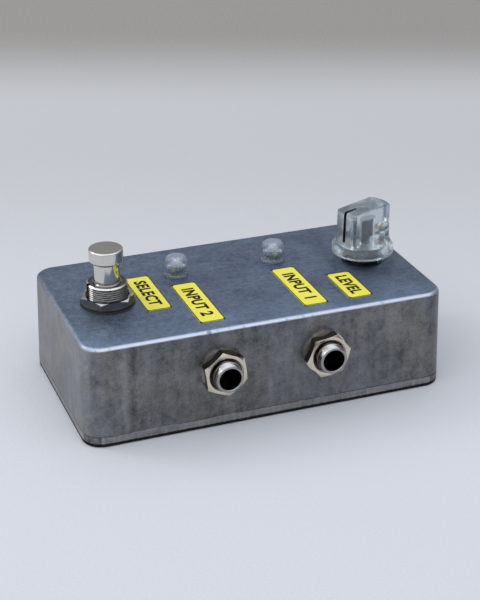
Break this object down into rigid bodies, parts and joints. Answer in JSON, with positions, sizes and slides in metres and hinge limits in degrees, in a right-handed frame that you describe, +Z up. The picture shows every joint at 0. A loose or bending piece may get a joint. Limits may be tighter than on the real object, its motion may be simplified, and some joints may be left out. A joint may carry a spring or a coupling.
{
  "type": "instrument selector pedal",
  "caption": "Footswitch pedal in a small die-cast box that selects between inputs, with indicator lamps and a level knob.",
  "frame": {"origin": "centre of the flat face the box stands on", "axes": "+X from the footswitch to the knob, -Y out of the side with the two inputs, +Z up"},
  "size_m": [0.1141, 0.074, 0.0488],
  "materials": {
    "cast_aluminium": "bare die casting, fine grain, dull",
    "lid_aluminium": "bare die casting, lighter than the box",
    "screw_steel": "zinc plated",
    "label_tape": "laminated tape, yellow",
    "chrome_plate": "bright plate",
    "warm_nickel": "bright nickel plate, slightly warm",
    "seal_rubber": "black",
    "spring_steel": "drawn wire",
    "zinc_steel": "bright zinc plate",
    "dark_moulding": "moulded, dull",
    "black_plastic": "moulded, satin",
    "white_nylon": "moulded",
    "tinned_brass": "tinned",
    "contact_metal": "rolled strip",
    "brown_board": "laminated paper board",
    "shaft_aluminium": "turned",
    "clear_plastic": "clear, polished",
    "blackened_steel": "blackened, with bright wear",
    "pointer_black": "inlaid",
    "brass": "turned",
    "led_resin": "clear resin, faintly yellow",
    "resistor_coat": "lacquered",
    "wire_white": "wire cover, white",
    "wire_red": "wire cover, red",
    "wire_black": "wire cover, black"
  },
  "bodies": {
    "housing": {"enclosure_body": "cast_aluminium", "bottom_lid": "lid_aluminium", "lid_screws": "screw_steel", "label_footswitch": "label_tape", "label_input_1": "label_tape", "label_input_2": "label_tape", "label_level": "label_tape", "footswitch_bush": "chrome_plate", "footswitch_nut": "chrome_plate", "footswitch_washer": "chrome_plate", "footswitch_seal_ring": "seal_rubber", "footswitch_lock_washer": "zinc_steel", "footswitch_inner_nut": "chrome_plate", "footswitch_return_spring": "spring_steel", "footswitch_spring_plate": "zinc_steel", "footswitch_frame": "zinc_steel", "footswitch_base": "dark_moulding", "footswitch_lugs": "tinned_brass", "pot_bush_plate": "zinc_steel", "pot_cover": "zinc_steel", "pot_track_board": "brown_board", "pot_lugs": "tinned_brass", "pot_nut": "blackened_steel", "pot_washer": "blackened_steel", "lamp_lens_1": "clear_plastic", "lamp_lens_2": "clear_plastic", "lamp_lens_rings": "black_plastic", "lamp_diodes": "led_resin", "lamp_leads": "tinned_brass", "lamp_resistors": "resistor_coat", "jack_nuts": "warm_nickel", "jack_washers": "warm_nickel", "jack_rivets": "brass", "power_socket_body": "black_plastic", "power_socket_nut": "warm_nickel", "power_socket_pin": "chrome_plate", "power_socket_terminals": "tinned_brass", "input_1_jack_body": "warm_nickel", "input_1_jack_insulators": "brown_board", "input_1_jack_tip_spring": "spring_steel", "input_2_jack_body": "warm_nickel", "input_2_jack_insulators": "brown_board", "input_2_jack_tip_spring": "spring_steel", "output_jack_body": "warm_nickel", "output_jack_insulators": "brown_board", "output_jack_tip_spring": "spring_steel", "wires_signal": "wire_white", "wires_lamps": "wire_red", "wires_ground": "wire_black"},
    "plunger": {"footswitch_plunger": "chrome_plate", "footswitch_follower": "black_plastic"},
    "toggle": {"footswitch_toggle": "white_nylon", "footswitch_contact_strips": "contact_metal"},
    "knob": {"knob_body": "clear_plastic", "knob_pointer": "pointer_black", "knob_set_screw": "brass", "pot_shaft": "shaft_aluminium", "pot_wiper": "black_plastic"}
  },
  "joints": [
    {"name": "footswitch_press", "type": "slide", "parent": "housing", "child": "plunger", "axis": [0, 0, -1], "range_m": [0, 0.0028], "stiffness_N_per_m": 3000, "springref_m": -0.002, "deforming": ["footswitch_return_spring"]},
    {"name": "contact_toggle", "type": "hinge", "parent": "housing", "child": "toggle", "pos_m": [-0.0407, -0.0014, 0.01613], "axis": [0, 1, 0], "range_deg": [0, 16]},
    {"name": "knob_turn", "type": "hinge", "parent": "housing", "child": "knob", "pos_m": [0.0421, 0.0006, 0.031], "axis": [0, 0, 1], "range_deg": [0, 300]}
  ]
}
